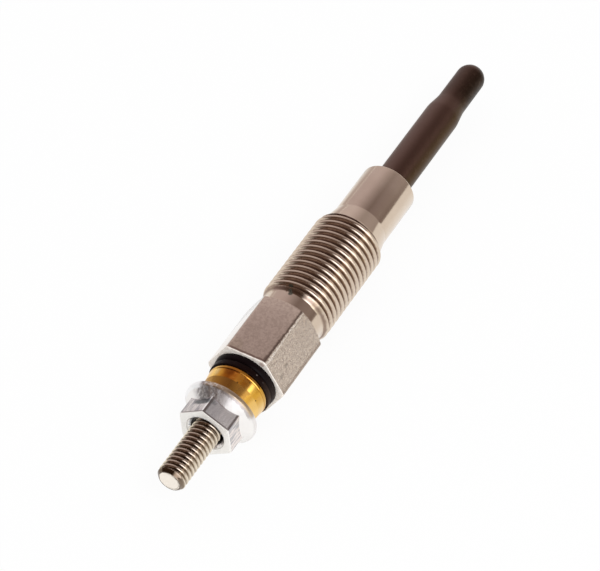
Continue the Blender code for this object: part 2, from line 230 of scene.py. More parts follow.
def noise(where, scale, detail, rough, stretch=(1, 1, 1), turn=(0, 0, 0)):
    """Noise with a given number of cells a metre, stretched along the plug's axes."""
    spread = where.nodes.add(
        "ShaderNodeMapping",
        {"vector_type": "POINT"},
        {"Vector": where, "Scale": stretch, "Rotation": turn},
    )
    return where.nodes.add(
        "ShaderNodeTexNoise",
        {"noise_dimensions": "3D"},
        {"Vector": spread, "Scale": scale, "Detail": detail, "Roughness": rough},
    )


def ragged_by(value, grain, size):
    """The value moved up and down by a noise, by that size in all."""
    return value + (grain - 0.5) * size


print("place and mask helpers ready")

# %% [markdown]
# The rest turn masks into looks. Marks are spots round a place, several masks join by the
# strongest of them, colours are laid over each other as layers with a share each, and a height
# becomes a bump. Each finish starts from an empty tree and ends in one surface node.

# %% Spots, layers and surfaces
def spot(where, place, reach, grain, stretch=(1, 1, 1)):
    """One round a place in millimetres from the axis, with a ragged edge."""
    middle = [value * MM for value in place]
    add = where.nodes.add
    away = add("ShaderNodeVectorMath", {"operation": "SUBTRACT"}, {0: where, 1: middle})
    away = add("ShaderNodeVectorMath", {"operation": "MULTIPLY"}, {0: away, 1: stretch})
    away = add("ShaderNodeVectorMath", {"operation": "LENGTH"}, {0: away}, output=1)
    reach = reach * MM
    return soft_step(ragged_by(away, grain, reach), reach, reach * 0.5)


def strongest(first, *others):
    """The highest of some masks."""
    for other in others:
        first = maths("MAXIMUM", first, other)
    return first


def mix_colour(share, first, second):
    """The first colour where the share is nought, the second where it is one."""
    first = first if isinstance(first, Wire) else (*first, 1.0)
    second = second if isinstance(second, Wire) else (*second, 1.0)
    sockets = {0: share, 6: first, 7: second}
    return share.nodes.add("ShaderNodeMix", {"data_type": "RGBA"}, sockets, output=2)


def layered(colour, layers):
    """A colour with (share, colour) layers laid over it, one after the other."""
    for share, tint in layers:
        colour = mix_colour(share, colour, tint)
    return colour


def tones_round(angle, ring):
    """A colour by the angle, from a ring of (degrees, colour) pairs."""
    stops = [((degrees + 180) / 360, colour) for degrees, colour in ring]
    sockets = {0: angle * (1 / 360) + 0.5}
    return angle.nodes.add("ShaderNodeValToRGB", {"stops": stops}, sockets)


def bump(height, depth):
    """A normal from a height of nought to one, that many metres deep."""
    sockets = {"Height": height, "Distance": depth, "Strength": 1.0}
    return height.nodes.add("ShaderNodeBump", None, sockets)


def new_finish(name):
    return Nodes(bpy.data.materials.new(name))


def close_finish(nodes, colour, metallic, rough, normal, specular=0.5):
    sockets = {
        "Base Color": colour,
        "Metallic": metallic,
        "Roughness": rough,
        "Specular IOR Level": specular,
        "Normal": normal,
    }
    surface = nodes.add("ShaderNodeBsdfPrincipled", None, sockets)
    nodes.add("ShaderNodeOutputMaterial", None, {"Surface": surface})
    print(nodes.owner.name, "has", len(nodes.tree.nodes), "nodes")
    return nodes.owner


print("finish helpers ready")

# %% [markdown]
# The floor and the background of the photograph are blank white. The floor is a large plane
# that the camera sees as nearly even white, with a share of diffuse surface left so that it
# keeps a faint shadow of the plug. Bright metal mirrors the floor too. The left silhouettes of
# the neck and the nose show that the table was greyer behind the plug, so for mirror rays the
# glow dims there with the distance from the plug. It turns brown far beyond the stud's end,
# which the stud and the nut's flange mirror, and stays white right beside them.

# %% Floor
FLOOR_SIZE = 6.0
FLOOR_GLOW = 0.93
WHITE_UNDER = (1.0, 1.0, 1.0)
WHITE_ROUND = (0.90, 0.87, 0.85)
GREY_NEAR = (0.70, 0.66, 0.64)
GREY_FAR = (0.54, 0.46, 0.45)
BROWN_FAR = (0.10, 0.065, 0.050)

bpy.ops.object.select_all(action="DESELECT")
bpy.ops.mesh.primitive_plane_add(size=FLOOR_SIZE, location=(0, 0, 0))
floor = bpy.context.object
floor.name = "floor"
nodes = new_finish("floor_white")
ray = nodes.add("ShaderNodeLightPath")
mirrored = ray.output("Is Glossy Ray")
seen = strongest(ray.output("Is Camera Ray"), mirrored, ray.output("Is Transmission Ray"))
along, behind = apart(nodes.add("ShaderNodeTexCoord", output=3))[:2]
aside = maths("ABSOLUTE", behind)
greyed = soft_step(behind, 7 * MM, 11 * MM) * soft_step(along, 14 * MM, 32 * MM)
browned = soft_step(along, -35 * MM, -95 * MM)
browned = browned * soft_step(behind - along * 0.5, -10 * MM, 20 * MM)
table = layered(
    mix_colour(soft_step(aside, 6 * MM, 16 * MM), WHITE_UNDER, WHITE_ROUND),
    [
        (greyed, mix_colour(soft_step(behind, 14 * MM, 34 * MM), GREY_NEAR, GREY_FAR)),
        (soft_step(along, -24 * MM, -34 * MM), WHITE_UNDER),
        (browned, BROWN_FAR),
    ],
)
tone = mix_colour(mirrored, (1, 1, 1), table)
paper = nodes.add("ShaderNodeBsdfDiffuse", None, {"Color": (0.9, 0.9, 0.9, 1)})
glow = nodes.add("ShaderNodeEmission", None, {"Color": tone, "Strength": 1.0})
both = nodes.add("ShaderNodeMixShader", None, {0: seen * FLOOR_GLOW, 1: paper, 2: glow})
nodes.add("ShaderNodeOutputMaterial", None, {"Surface": both})
floor.data.materials.append(nodes.owner)
print("floor", FLOOR_SIZE, "m square")

# %% [markdown]
# Bright metal shows its surroundings more than its own colour. The bands along the plain neck
# and nose tell what the plug was surrounded by. A greyish pink wall stood behind it. Over the
# top the room falls off to a dark side on the right, which ends sharply at the white table,
# and beyond the stud's end it is darkest. Bright strips on the right and a bright panel past
# the stud's end give the thread, the brass and the nut's flange their glints.
# The world plays that room for mirror rays only. The camera sees white, and the light that
# falls on matt surfaces is even and pale.
# The room is a ring of tones round the plug's axis, from the wall over the top to the table.

# %% World
ROOM_RING = [
    (-180, (0.56, 0.48, 0.49)),
    (-50, (0.58, 0.50, 0.51)),
    (-34, (0.52, 0.44, 0.45)),
    (-18, (0.41, 0.34, 0.34)),
    (2, (0.27, 0.215, 0.21)),
    (11, (0.215, 0.165, 0.155)),
    (30, (0.255, 0.20, 0.195)),
    (60, (0.28, 0.225, 0.21)),
    (78, (0.23, 0.18, 0.165)),
    (86, (0.25, 0.20, 0.18)),
]
ROOM_BEHIND = (0.10, 0.058, 0.040)
ROOM_AHEAD = (1.0, 0.92, 0.90)
ROOM_WHITE = (0.92, 0.90, 0.87)
STRIP_TOP = 49
STRIP_MIDDLE = 65
STRIP_FOOT = 95
STRIP_GLOW = (1.7, 1.62, 1.5)
LOW_STRIP_GLOW = (0.84, 0.80, 0.74)
PANEL_GLOW = (2.5, 2.5, 2.65)
DIFFUSE_LIGHT = 0.85

world = bpy.data.worlds.new("studio")
bpy.context.scene.world = world
nodes = Nodes(world)
east, north, up = apart(nodes.add("ShaderNodeTexCoord", output=0))
turn = degrees_round(north, up)
ahead = soft_step(east, 0.66, 0.80) * 0.20 + soft_step(east, 0.88, 0.95) * 0.6
backward = soft_step(east, -0.12, -0.50)
panel = soft_step(east, -0.28, -0.42) * soft_step(up - north * 0.8, 0.26, 0.36)
abreast = band(east, -0.6, 0.42, 0.04)
room = layered(
    tones_round(turn, ROOM_RING),
    [
        (ahead, ROOM_AHEAD),
        (backward, ROOM_BEHIND),
        (panel * soft_step(north + east * 0.4, -0.36, -0.66), PANEL_GLOW),
        (band(turn, STRIP_MIDDLE, STRIP_FOOT, 3) * abreast, LOW_STRIP_GLOW),
        (band(turn, STRIP_TOP, STRIP_MIDDLE, 3) * abreast, STRIP_GLOW),
        (soft_step(up, 0.05, 0.01) * (1.0 - backward), ROOM_WHITE),
    ],
)
ray = nodes.add("ShaderNodeLightPath")
mirrored = ray.output("Is Glossy Ray")
plain = strongest(ray.output("Is Camera Ray"), ray.output("Is Transmission Ray"))
colour = mix_colour(mirrored, (1, 1, 1), room)
strength = strongest(plain, mirrored, DIFFUSE_LIGHT)
background = nodes.add("ShaderNodeBackground", None, {"Color": colour, "Strength": strength})
nodes.add("ShaderNodeOutputWorld", None, {"Surface": background})
print("world has", len(nodes.tree.nodes), "nodes")

# %% [markdown]
# One soft lamp over the plug gives the faint shadow its direction and lights the matt pieces.
# It is kept out of the mirror image in the metal, which the room alone draws.

# %% Soft lamp
LAMP_PLACE = Vector((-0.15, -0.45, 0.60))
LAMP_SIZE = 0.45
LAMP_POWER = 1.6

lamp_data = bpy.data.lights.new("key_lamp", "AREA")
lamp_data.shape = "DISK"
lamp_data.size = LAMP_SIZE
lamp_data.energy = LAMP_POWER
lamp = bpy.data.objects.new("key_lamp", lamp_data)
bpy.context.scene.collection.objects.link(lamp)
lamp.location = LAMP_PLACE
lamp.rotation_euler = (AIM - LAMP_PLACE).to_track_quat("-Z", "Y").to_euler()
lamp.visible_glossy = False
print("lamp of", LAMP_POWER, "W at", tuple(LAMP_PLACE))

# %% [markdown]
# Almost every piece of the plug was turned on a lathe. On the screen the same thing is done
# by drawing half of the section as a line and spinning it round the axis. The line is drawn as
# by hand: a plane is merged to a single point, and that point is extruded from corner to
# corner. Real edges are never dead sharp, so each corner can be given a small fillet.

# %% Drawing and spinning an outline
CLOSE = 0.001 * MM
ON_AXIS = (0, 0, AXIS_HEIGHT)


def only(obj):
    """Makes this the one object that is selected and active."""
    bpy.ops.object.select_all(action="DESELECT")
    obj.select_set(True)
    bpy.context.view_layer.objects.active = obj


@contextlib.contextmanager
def editing(obj, kind="VERT"):
    only(obj)
    bpy.ops.object.mode_set(mode="EDIT")
    bpy.ops.mesh.select_mode(type=kind)
    yield
    bpy.ops.object.mode_set(mode="OBJECT")


def rounded(corners, steps=4):
    """(station, radius) points in metres from (station, radius, fillet) corners."""
    points = []
    last = len(corners) - 1
    for index, (station, radius, fillet) in enumerate(corners):
        here = Vector((station, radius))
        if fillet == 0 or index in (0, last):
            points.append(here)
            continue
        back = (Vector(corners[index - 1][:2]) - here).normalized()
        ahead = (Vector(corners[index + 1][:2]) - here).normalized()
        half = back.angle(ahead) / 2
        centre = here + (back + ahead).normalized() * fillet / math.sin(half)
        first = (here + back * fillet / math.tan(half) - centre).normalized()
        final = (here + ahead * fillet / math.tan(half) - centre).normalized()
        for step in range(steps + 1):
            points.append(centre + first.slerp(final, step / steps) * fillet)
    return [(point.x, point.y) for point in points]


def draw_outline(name, points):
    """A line of vertices above the axis, with the object's origin on the axis."""
    bpy.ops.object.select_all(action="DESELECT")
    bpy.ops.mesh.primitive_plane_add(size=MM, location=ON_AXIS)
    obj = bpy.context.object
    obj.name = name
    with editing(obj):
        bpy.ops.mesh.select_all(action="SELECT")
        bpy.ops.mesh.merge(type="CENTER")
        bpy.ops.transform.translate(value=(points[0][0], 0, points[0][1]))
        for (x0, r0), (x1, r1) in zip(points, points[1:]):
            step = (x1 - x0, 0, r1 - r0)
            bpy.ops.mesh.extrude_vertices_move(TRANSFORM_OT_translate={"value": step})
    return obj


def merge_and_face_out():
    bpy.ops.mesh.select_all(action="SELECT")
    bpy.ops.mesh.remove_doubles(threshold=CLOSE)
    bpy.ops.mesh.normals_make_consistent(inside=False)


def settle(obj):
    """Brings the object's origin to the world's, with its place in its mesh."""
    only(obj)
    bpy.ops.object.transform_apply(location=True, rotation=True, scale=True)


def turned(name, corners, sides):
    """A turned piece from (station, radius, fillet) corners."""
    obj = draw_outline(name, rounded(corners))
    with editing(obj):
        bpy.ops.mesh.select_all(action="SELECT")
        bpy.ops.mesh.spin(steps=sides, angle=2 * math.pi, center=ON_AXIS, axis=(1, 0, 0))
        merge_and_face_out()
    settle(obj)
    print(name, "has", len(obj.data.polygons), "faces")
    return obj


print("outline tools ready")

# %% [markdown]
# Hexagons are cut from a six-sided bar whose corners were turned down first, so a hexagon is
# the part that a bar and a turned envelope share. Booleans join, cut and share shapes here,
# and each one is applied at once so that the mesh can be worked on further.

# %% Joining and cutting
SMOOTH_UP_TO = math.radians(32)


def apply_modifiers(obj):
    only(obj)
    for modifier in list(obj.modifiers):
        bpy.ops.object.modifier_apply(modifier=modifier.name)


def combine(obj, operation, other):
    """Joins, cuts or shares with the other shape, which is used up."""
    modifier = obj.modifiers.new(operation, "BOOLEAN")
    modifier.operation = operation
    modifier.solver = "EXACT"
    modifier.object = other
    apply_modifiers(obj)
    bpy.data.objects.remove(other)


def hex_bar(name, across_flats, start, end, turn):
    """A six-sided bar along the axis, with a flat facing up when the turn is nought."""
    bpy.ops.object.select_all(action="DESELECT")
    bpy.ops.mesh.primitive_cylinder_add(
        vertices=6,
        radius=across_flats / math.sqrt(3),
        depth=end - start,
        location=((start + end) / 2, 0, AXIS_HEIGHT),
        rotation=(0, math.pi / 2, 0),
    )
    obj = bpy.context.object
    obj.name = name
    settle(obj)
    with editing(obj):
        bpy.ops.mesh.select_all(action="SELECT")
        bpy.ops.transform.rotate(value=-turn, orient_axis="X", center_override=ON_AXIS)
    return obj


def soften_edges(obj, width, angle, segments=2):
    modifier = obj.modifiers.new("soft edges", "BEVEL")
    modifier.width = width
    modifier.segments = segments
    modifier.limit_method = "ANGLE"
    modifier.angle_limit = angle
    modifier.use_clamp_overlap = True
    apply_modifiers(obj)


def smooth(obj):
    only(obj)
    bpy.ops.object.shade_smooth_by_angle(angle=SMOOTH_UP_TO)


print("cutting tools ready")

# %% [markdown]
# A thread is one tooth outline that climbs by a pitch with each turn round the axis. The Screw
# modifier does exactly that. The tooth's crest and root are round, and two points on each side
# hold the flank flat between them. The thread's points are then held under a turning, which
# gives it its chamfered start and end, and over a core, which lets it run out into the plain
# shank. Last, both ends are cut square.

# %% Cutting a thread
def thread(name, crest, depth, pitch, start, end, turning, core, sides):
    """A threaded tube along the axis, open at both ends.

    The turning and the core are (station, radius) lists that the surface stays between.
    """
    before = start - 2 * pitch
    flank = 0.35 * pitch
    falling = [
        (-0.5 * pitch, crest, 0),
        (-flank, crest, 0.25 * pitch),
        (-0.70 * flank, crest - 0.30 * depth, 0),
        (-0.38 * flank, crest - 0.62 * depth, 0),
    ]
    rising = [(-place, radius, fillet) for place, radius, fillet in reversed(falling)]
    outline = falling + [(0, crest - depth, 0.10 * pitch)] + rising
    tooth = rounded([(before + place, radius, fillet) for place, radius, fillet in outline])
    obj = draw_outline(name, tooth)
    screw = obj.modifiers.new("thread", "SCREW")
    screw.axis = "X"
    screw.angle = 2 * math.pi
    screw.screw_offset = pitch
    screw.iterations = math.ceil((end - start) / pitch) + 4
    screw.steps = sides
    screw.render_steps = sides
    screw.use_merge_vertices = True
    screw.merge_threshold = CLOSE
    apply_modifiers(obj)
    settle(obj)
    for vertex in obj.data.vertices:
        x, y, z = vertex.co.x, vertex.co.y, vertex.co.z - AXIS_HEIGHT
        radius = math.hypot(y, z)
        held = min(radius, np.interp(x, *zip(*turning)))
        held = max(held, np.interp(x, *zip(*core)))
        vertex.co.y = y * held / radius
        vertex.co.z = z * held / radius + AXIS_HEIGHT
    with editing(obj):
        for station, side in ((start, -1), (end, 1)):
            bpy.ops.mesh.select_all(action="SELECT")
            bpy.ops.mesh.bisect(
                plane_co=(station, 0, 0),
                plane_no=(side, 0, 0),
                clear_outer=True,
                threshold=CLOSE / 10,
            )
        merge_and_face_out()
    print(name, "has", len(obj.data.polygons), "faces")
    return obj


def grow_end(obj, corners):
    """Grows the open ring at the first corner on through the outline, and closes it."""
    points = rounded(corners)
    with editing(obj):
        bpy.ops.mesh.select_all(action="DESELECT")
    for vertex in obj.data.vertices:
        vertex.select = abs(vertex.co.x - points[0][0]) < CLOSE
    with editing(obj):
        for (x0, r0), (x1, r1) in zip(points, points[1:]):
            bpy.ops.mesh.extrude_region_move(TRANSFORM_OT_translate={"value": (x1 - x0, 0, 0)})
            bpy.ops.transform.resize(value=(1, r1 / r0, r1 / r0), center_override=ON_AXIS)
        bpy.ops.mesh.edge_face_add()
        merge_and_face_out()


print("thread tools ready")

# %% [markdown]
# The body is one piece of plated steel: hexagon, neck, thread, cone and nose. The thread is
# cut first, then its two open ends are grown by extruding and scaling the end ring, on the
# near side into the neck and on the far side over the cone to the nose.

# %% Body: thread, neck, cone and nose
BODY_SIDES = 144
HEX_LENGTH = 10.1 * MM
NECK_RADIUS = 4.35 * MM
NECK_LENGTH = 1.9 * MM
THREAD_CREST = 4.93 * MM
THREAD_DEPTH = 0.62 * MM
THREAD_PITCH = 1.0 * MM
THREAD_LENGTH = 15.3 * MM
THREAD_CHAMFER = 0.45 * MM
THREAD_RUN_IN = 0.4 * MM
RUN_IN_SLOPE = math.radians(35)
NEAR_CUT_BACK = 0.1 * MM
FAR_CUT_ON = 0.3 * MM
CONE_START_RADIUS = 4.40 * MM
CONE_LENGTH = 2.6 * MM
CONE_FILLET = 1.2 * MM
NOSE_RADIUS = 3.87 * MM
NOSE_EDGE = 0.16 * MM
NOSE_FACE = 0.5 * MM
OVERLAP = 0.4 * MM

HEX_END = HEX_START + HEX_LENGTH
THREAD_START = HEX_END + NECK_LENGTH
THREAD_END = THREAD_START + THREAD_LENGTH
NOSE_START = THREAD_END + CONE_LENGTH
near_cut = THREAD_START - NEAR_CUT_BACK
far_cut = THREAD_END + FAR_CUT_ON
cone_slope = (CONE_START_RADIUS - NOSE_RADIUS) / CONE_LENGTH
far_radius = CONE_START_RADIUS - cone_slope * (far_cut - THREAD_END)
rise = (THREAD_CREST - NECK_RADIUS) / math.tan(RUN_IN_SLOPE)
core_radius = NECK_RADIUS - THREAD_CHAMFER
body = thread(
    "plug_body",
    THREAD_CREST,
    THREAD_DEPTH,
    THREAD_PITCH,
    near_cut,
    far_cut,
    [
        (THREAD_START, NECK_RADIUS),
        (THREAD_START + rise, THREAD_CREST),
        (THREAD_END - THREAD_CHAMFER, THREAD_CREST),
        (THREAD_END, CONE_START_RADIUS),
        (NOSE_START, NOSE_RADIUS),
    ],
    [
        (THREAD_START, NECK_RADIUS),
        (THREAD_START + THREAD_RUN_IN, NECK_RADIUS),
        (THREAD_START + THREAD_RUN_IN + THREAD_CHAMFER / 2, core_radius),
        (THREAD_END - THREAD_CHAMFER, core_radius),
        (THREAD_END - THREAD_CHAMFER / 2, CONE_START_RADIUS),
        (THREAD_END, CONE_START_RADIUS),
        (NOSE_START, NOSE_RADIUS),
    ],
    BODY_SIDES,
)
grow_end(body, [(near_cut, NECK_RADIUS, 0), (HEX_END - OVERLAP, NECK_RADIUS, 0)])
grow_end(
    body,
    [
        (far_cut, far_radius, 0),
        (NOSE_START, NOSE_RADIUS, CONE_FILLET),
        (NOSE_END, NOSE_RADIUS, NOSE_EDGE),
        (NOSE_END, NOSE_RADIUS - NOSE_FACE, 0),
    ],
)

# %% [markdown]
# The hexagon is the wrench's grip. Its corners are turned down a little, its far end has the
# usual thirty-degree chamfer, and its near end a narrow ring round the mouth.

# %% Body: hexagon
HEX_ACROSS_FLATS = 9.5 * MM
HEX_CORNER_RADIUS = 5.40 * MM
HEX_NEAR_CHAMFER = 0.10 * MM
HEX_FAR_RADIUS = 3.9 * MM
HEX_EDGE = 0.08 * MM
HEX_CHAMFER_ANGLE = math.radians(30)
BEVEL_FROM = math.radians(20)

hex_flat = HEX_ACROSS_FLATS / 2
slope = math.tan(HEX_CHAMFER_ANGLE)
hexagon = hex_bar("hexagon", HEX_ACROSS_FLATS, HEX_START - OVERLAP, HEX_END + OVERLAP, 0)
envelope = turned(
    "hexagon_turning",
    [
        (HEX_START, 0, 0),
        (HEX_START, HEX_CORNER_RADIUS - HEX_NEAR_CHAMFER, 0),
        (HEX_START + HEX_NEAR_CHAMFER, HEX_CORNER_RADIUS, 0),
        (HEX_END - (HEX_CORNER_RADIUS - hex_flat) * slope, HEX_CORNER_RADIUS, 0),
        (HEX_END + (hex_flat - HEX_FAR_RADIUS) * slope, HEX_FAR_RADIUS, 0),
        (HEX_END + (hex_flat - HEX_FAR_RADIUS) * slope, 0, 0),
    ],
    BODY_SIDES,
)
combine(hexagon, "INTERSECT", envelope)
soften_edges(hexagon, HEX_EDGE, BEVEL_FROM)
combine(body, "UNION", hexagon)

# %% [markdown]
# A long bore runs through the body. At the hexagon's end it opens in a cone that holds the
# rubber ring, and at the nose the heater tube fills it. A turned cutter takes it all out.

# %% Body: mouth and bore
BORE_SIDES = 96
FIT = 0.05 * MM
MOUTH_RADIUS = 4.50 * MM
MOUTH_LIP = 0.12 * MM
BUSH_SLEEVE_RADIUS = 2.85 * MM
BODY_BORE_RADIUS = 2.60 * MM
TUBE_RADIUS = 2.42 * MM

mouth_depth = MOUTH_RADIUS - BUSH_SLEEVE_RADIUS - FIT
bore = turned(
    "bore_cutter",
    [
        (HEX_START - OVERLAP, 0, 0),
        (HEX_START - OVERLAP, MOUTH_RADIUS - MOUTH_LIP, 0),
        (HEX_START + MOUTH_LIP, MOUTH_RADIUS - MOUTH_LIP, 0),
        (HEX_START + mouth_depth, BUSH_SLEEVE_RADIUS + FIT, 0),
        (SLEEVE_END + FIT, BUSH_SLEEVE_RADIUS + FIT, 0),
        (SLEEVE_END + FIT, BODY_BORE_RADIUS, 0),
        (TUBE_START - FIT, BODY_BORE_RADIUS, 0),
        (TUBE_START - FIT, TUBE_RADIUS + FIT, 0),
        (NOSE_END + OVERLAP, TUBE_RADIUS + FIT, 0),
        (NOSE_END + OVERLAP, 0, 0),
    ],
    BORE_SIDES,
)
combine(body, "DIFFERENCE", bore)
smooth(body)
print("body has", len(body.data.polygons), "faces")

# %% [markdown]
# The terminal stud and the centre rod are one piece. Only the thread shows, so it gets the
# care: its end is cut square through the thread, inside a small chamfer, as a rolled stud is.

# %% Terminal stud
STUD_CREST = 1.95 * MM
STUD_DEPTH = 0.40 * MM
STUD_PITCH = 0.7 * MM
STUD_CHAMFER = 0.42 * MM
STUD_PAST_NUT = 1.4 * MM
RUN_OUT_FROM = 0.5 * MM
RUN_OUT_TO = 0.2 * MM
ROD_RADIUS = 1.65 * MM
ROD_EDGE = 0.05 * MM
SPIGOT_RADIUS = 1.22 * MM
SPIGOT_EDGE = 0.1 * MM
SPIGOT_FACE = 0.6 * MM

stud_thread_end = BRASS_END + STUD_PAST_NUT
run_out_start = stud_thread_end - RUN_OUT_FROM
run_out_end = stud_thread_end - RUN_OUT_TO
rod_shoulder = TUBE_START - 2 * FIT
stud = thread(
    "terminal_stud",
    STUD_CREST,
    STUD_DEPTH,
    STUD_PITCH,
    STUD_END,
    stud_thread_end,
    [
        (STUD_END, STUD_CREST - STUD_CHAMFER),
        (STUD_END + STUD_CHAMFER, STUD_CREST),
        (run_out_start, STUD_CREST),
        (run_out_end, ROD_RADIUS),
    ],
    [(run_out_start, 0), (run_out_end, ROD_RADIUS)],
    BORE_SIDES,
)
grow_end(
    stud,
    [
        (stud_thread_end, ROD_RADIUS, 0),
        (rod_shoulder, ROD_RADIUS, ROD_EDGE),
        (rod_shoulder, SPIGOT_RADIUS, ROD_EDGE),
        (SPIGOT_END, SPIGOT_RADIUS, SPIGOT_EDGE),
        (SPIGOT_END, SPIGOT_FACE, 0),
    ],
)
with editing(stud, "EDGE"):
    bpy.ops.mesh.select_all(action="DESELECT")
    bpy.ops.mesh.select_non_manifold()
    bpy.ops.mesh.edge_face_add()
    merge_and_face_out()
smooth(stud)

# %% [markdown]
# The flange nut clamps the cable's ring terminal. Its hexagon and its washer-like flange are
# forged as one, with a conical top on the flange, and it is bright zinc plated.

# %% Flange nut
NUT_SIDES = 128
NUT_ACROSS_FLATS = 6.9 * MM
NUT_FLANGE_RADIUS = 5.0 * MM
NUT_RIM = 0.55 * MM
NUT_CONE = 1.25 * MM
NUT_SINK = 2.72 * MM
NUT_CHAMFER = 0.15 * MM
NUT_EDGE = 0.14 * MM
NUT_TURN = math.radians(24.6)
NUT_BEVEL_FROM = math.radians(25)
CONE_FOOT = NUT_ACROSS_FLATS / 2 - 0.25 * MM
CONE_FLARE = (NUT_FLANGE_RADIUS - CONE_FOOT) / NUT_CONE

nut_corner = NUT_ACROSS_FLATS / math.sqrt(3)
nut_bore = STUD_CREST + FIT
cone_top = NUT_SEAT - NUT_RIM - NUT_CONE
nut = turned(
    "flange_nut_dressed",
    [
        (cone_top, 0, 0),
        (cone_top, CONE_FOOT, 0),
        (NUT_SEAT - NUT_RIM, NUT_FLANGE_RADIUS, 0.20 * MM),
        (NUT_SEAT, NUT_FLANGE_RADIUS, NUT_EDGE),
        (NUT_SEAT, 0, 0),
    ],
    NUT_SIDES,
)
bar = hex_bar("nut_bar", NUT_ACROSS_FLATS, NUT_FACE - OVERLAP, NUT_SEAT - NUT_RIM / 2, NUT_TURN)
envelope = turned(
    "nut_turning",
    [
        (NUT_FACE, 0, 0),
        (NUT_FACE, nut_corner - NUT_CHAMFER, 0),
        (NUT_FACE + (OVERLAP + NUT_CHAMFER) * slope, nut_corner + OVERLAP, 0),
        (NUT_SEAT, nut_corner + OVERLAP, 0),
        (NUT_SEAT, 0, 0),
    ],
    NUT_SIDES,
)
combine(bar, "INTERSECT", envelope)
soften_edges(bar, NUT_EDGE, NUT_BEVEL_FROM, 3)
combine(nut, "UNION", bar)
hole = turned(
    "nut_hole",
    [
        (NUT_FACE - OVERLAP, 0, 0),
        (NUT_FACE - OVERLAP, NUT_SINK + OVERLAP, 0),
        (NUT_FACE + NUT_SINK - nut_bore, nut_bore, 0),
        (NUT_SEAT + OVERLAP, nut_bore, 0),
        (NUT_SEAT + OVERLAP, 0, 0),
    ],
    BORE_SIDES,
)
combine(nut, "DIFFERENCE", hole)
smooth(nut)

# %% [markdown]
# Under it a round brass nut clamps the insulating bush. It is plain turned brass: a narrow
# land by the bush, a fine groove, a band that falls away slightly and a long bevel.

# %% Brass nut
BRASS_RADIUS = 4.10 * MM
BRASS_NECK_RADIUS = 3.35 * MM
BRASS_BEVEL = 1.20 * MM
BEVEL_RADIUS = 3.92 * MM
BAND_RADIUS = 4.075 * MM
GROOVE_RADIUS = 4.00 * MM
LAND_LENGTH = 0.50 * MM
BAND_LENGTH = 1.30 * MM

land = BRASS_END - LAND_LENGTH
band_start = land - BAND_LENGTH
brass_nut = turned(
    "brass_nut_dressed",
    [
        (BRASS_START, nut_bore, 0),
        (BRASS_START, BRASS_NECK_RADIUS, 0.05 * MM),
        (band_start - BRASS_BEVEL, BRASS_NECK_RADIUS, 0.3 * MM),
        (band_start, BEVEL_RADIUS, 0.06 * MM),
        (land - 0.12 * MM, BAND_RADIUS, 0.04 * MM),
        (land, GROOVE_RADIUS, 0.02 * MM),
        (land + 0.10 * MM, BRASS_RADIUS, 0.03 * MM),
        (BRASS_END, BRASS_RADIUS, 0.08 * MM),
        (BRASS_END, nut_bore, 0),
        (BRASS_START, nut_bore, 0),
    ],
    BODY_SIDES,
)
smooth(brass_nut)

# %% [markdown]
# The black bush keeps the stud away from the body. Only its collar shows, as a narrow black
# land between the brass and the rubber ring, and its sleeve runs down into the body.

# %% Insulating bush
COLLAR_RADIUS = 4.28 * MM
COLLAR_LENGTH = 0.75 * MM

collar_end = COLLAR_START + COLLAR_LENGTH
bush = turned(
    "insulating_bush_dressed",
    [
        (COLLAR_START, nut_bore, 0),
        (COLLAR_START, COLLAR_RADIUS, 0.10 * MM),
        (collar_end, COLLAR_RADIUS, 0.06 * MM),
        (collar_end, BUSH_SLEEVE_RADIUS, 0.05 * MM),
        (SLEEVE_END, BUSH_SLEEVE_RADIUS, 0.10 * MM),
        (SLEEVE_END, nut_bore, 0),
        (COLLAR_START, nut_bore, 0),
    ],
    NUT_SIDES,
)
smooth(bush)

# %% [markdown]
# The rubber ring is squeezed between the collar and the cone of the mouth, so its round
# section is pressed slightly flat where it bears on each of them.

# %% Sealing ring
RING_RADIUS = 3.62 * MM
RING_SECTION = 0.74 * MM
RING_POINTS = 40
PRESSED = 0.035 * MM

ring_low, ring_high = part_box("sealing_ring")
ring_centre = (ring_low.x + ring_high.x) / 2
diagonal = math.sqrt(0.5)
section = []
for point in range(RING_POINTS + 1):
    angle = 2 * math.pi * point / RING_POINTS
    along = RING_SECTION * math.cos(angle)
    out = RING_SECTION * math.sin(angle)
    along = max(along, PRESSED - RING_SECTION)
    past = (along + out) * diagonal - (RING_SECTION - PRESSED)
    if past > 0:
        along -= past * diagonal
        out -= past * diagonal
    section.append((ring_centre + along, RING_RADIUS + out, 0))
ring = turned("sealing_ring_dressed", section, BODY_SIDES)
smooth(ring)

# %% [markdown]
# The heater tube is a closed metal sheath, swaged down to a thinner round-ended tip. The two
# bends of the swage are soft, so they get large fillets. It is a real tube with a wall.

# %% Heater tube
TUBE_SIDES = 112
TUBE_TIP_RADIUS = 2.05 * MM
TUBE_WALL = 0.50 * MM
TUBE_WIDE_SHOWN = 15.6 * MM
TUBE_TAPER = 2.5 * MM
TUBE_EDGE = 0.08 * MM
SWAGE_FILLET = 6.0 * MM

taper_start = NOSE_END + TUBE_WIDE_SHOWN
taper_end = taper_start + TUBE_TAPER
tip_centre = TIP_END - TUBE_TIP_RADIUS


def round_end(radius, points=14):
    """The quarter circle that closes the tip, from its side to the axis."""
    angles = [math.pi / 2 * step / points for step in range(points + 1)]
    arc = [(tip_centre + radius * math.sin(a), radius * math.cos(a), 0) for a in angles]
    return arc[:-1] + [(tip_centre + radius, 0, 0)]


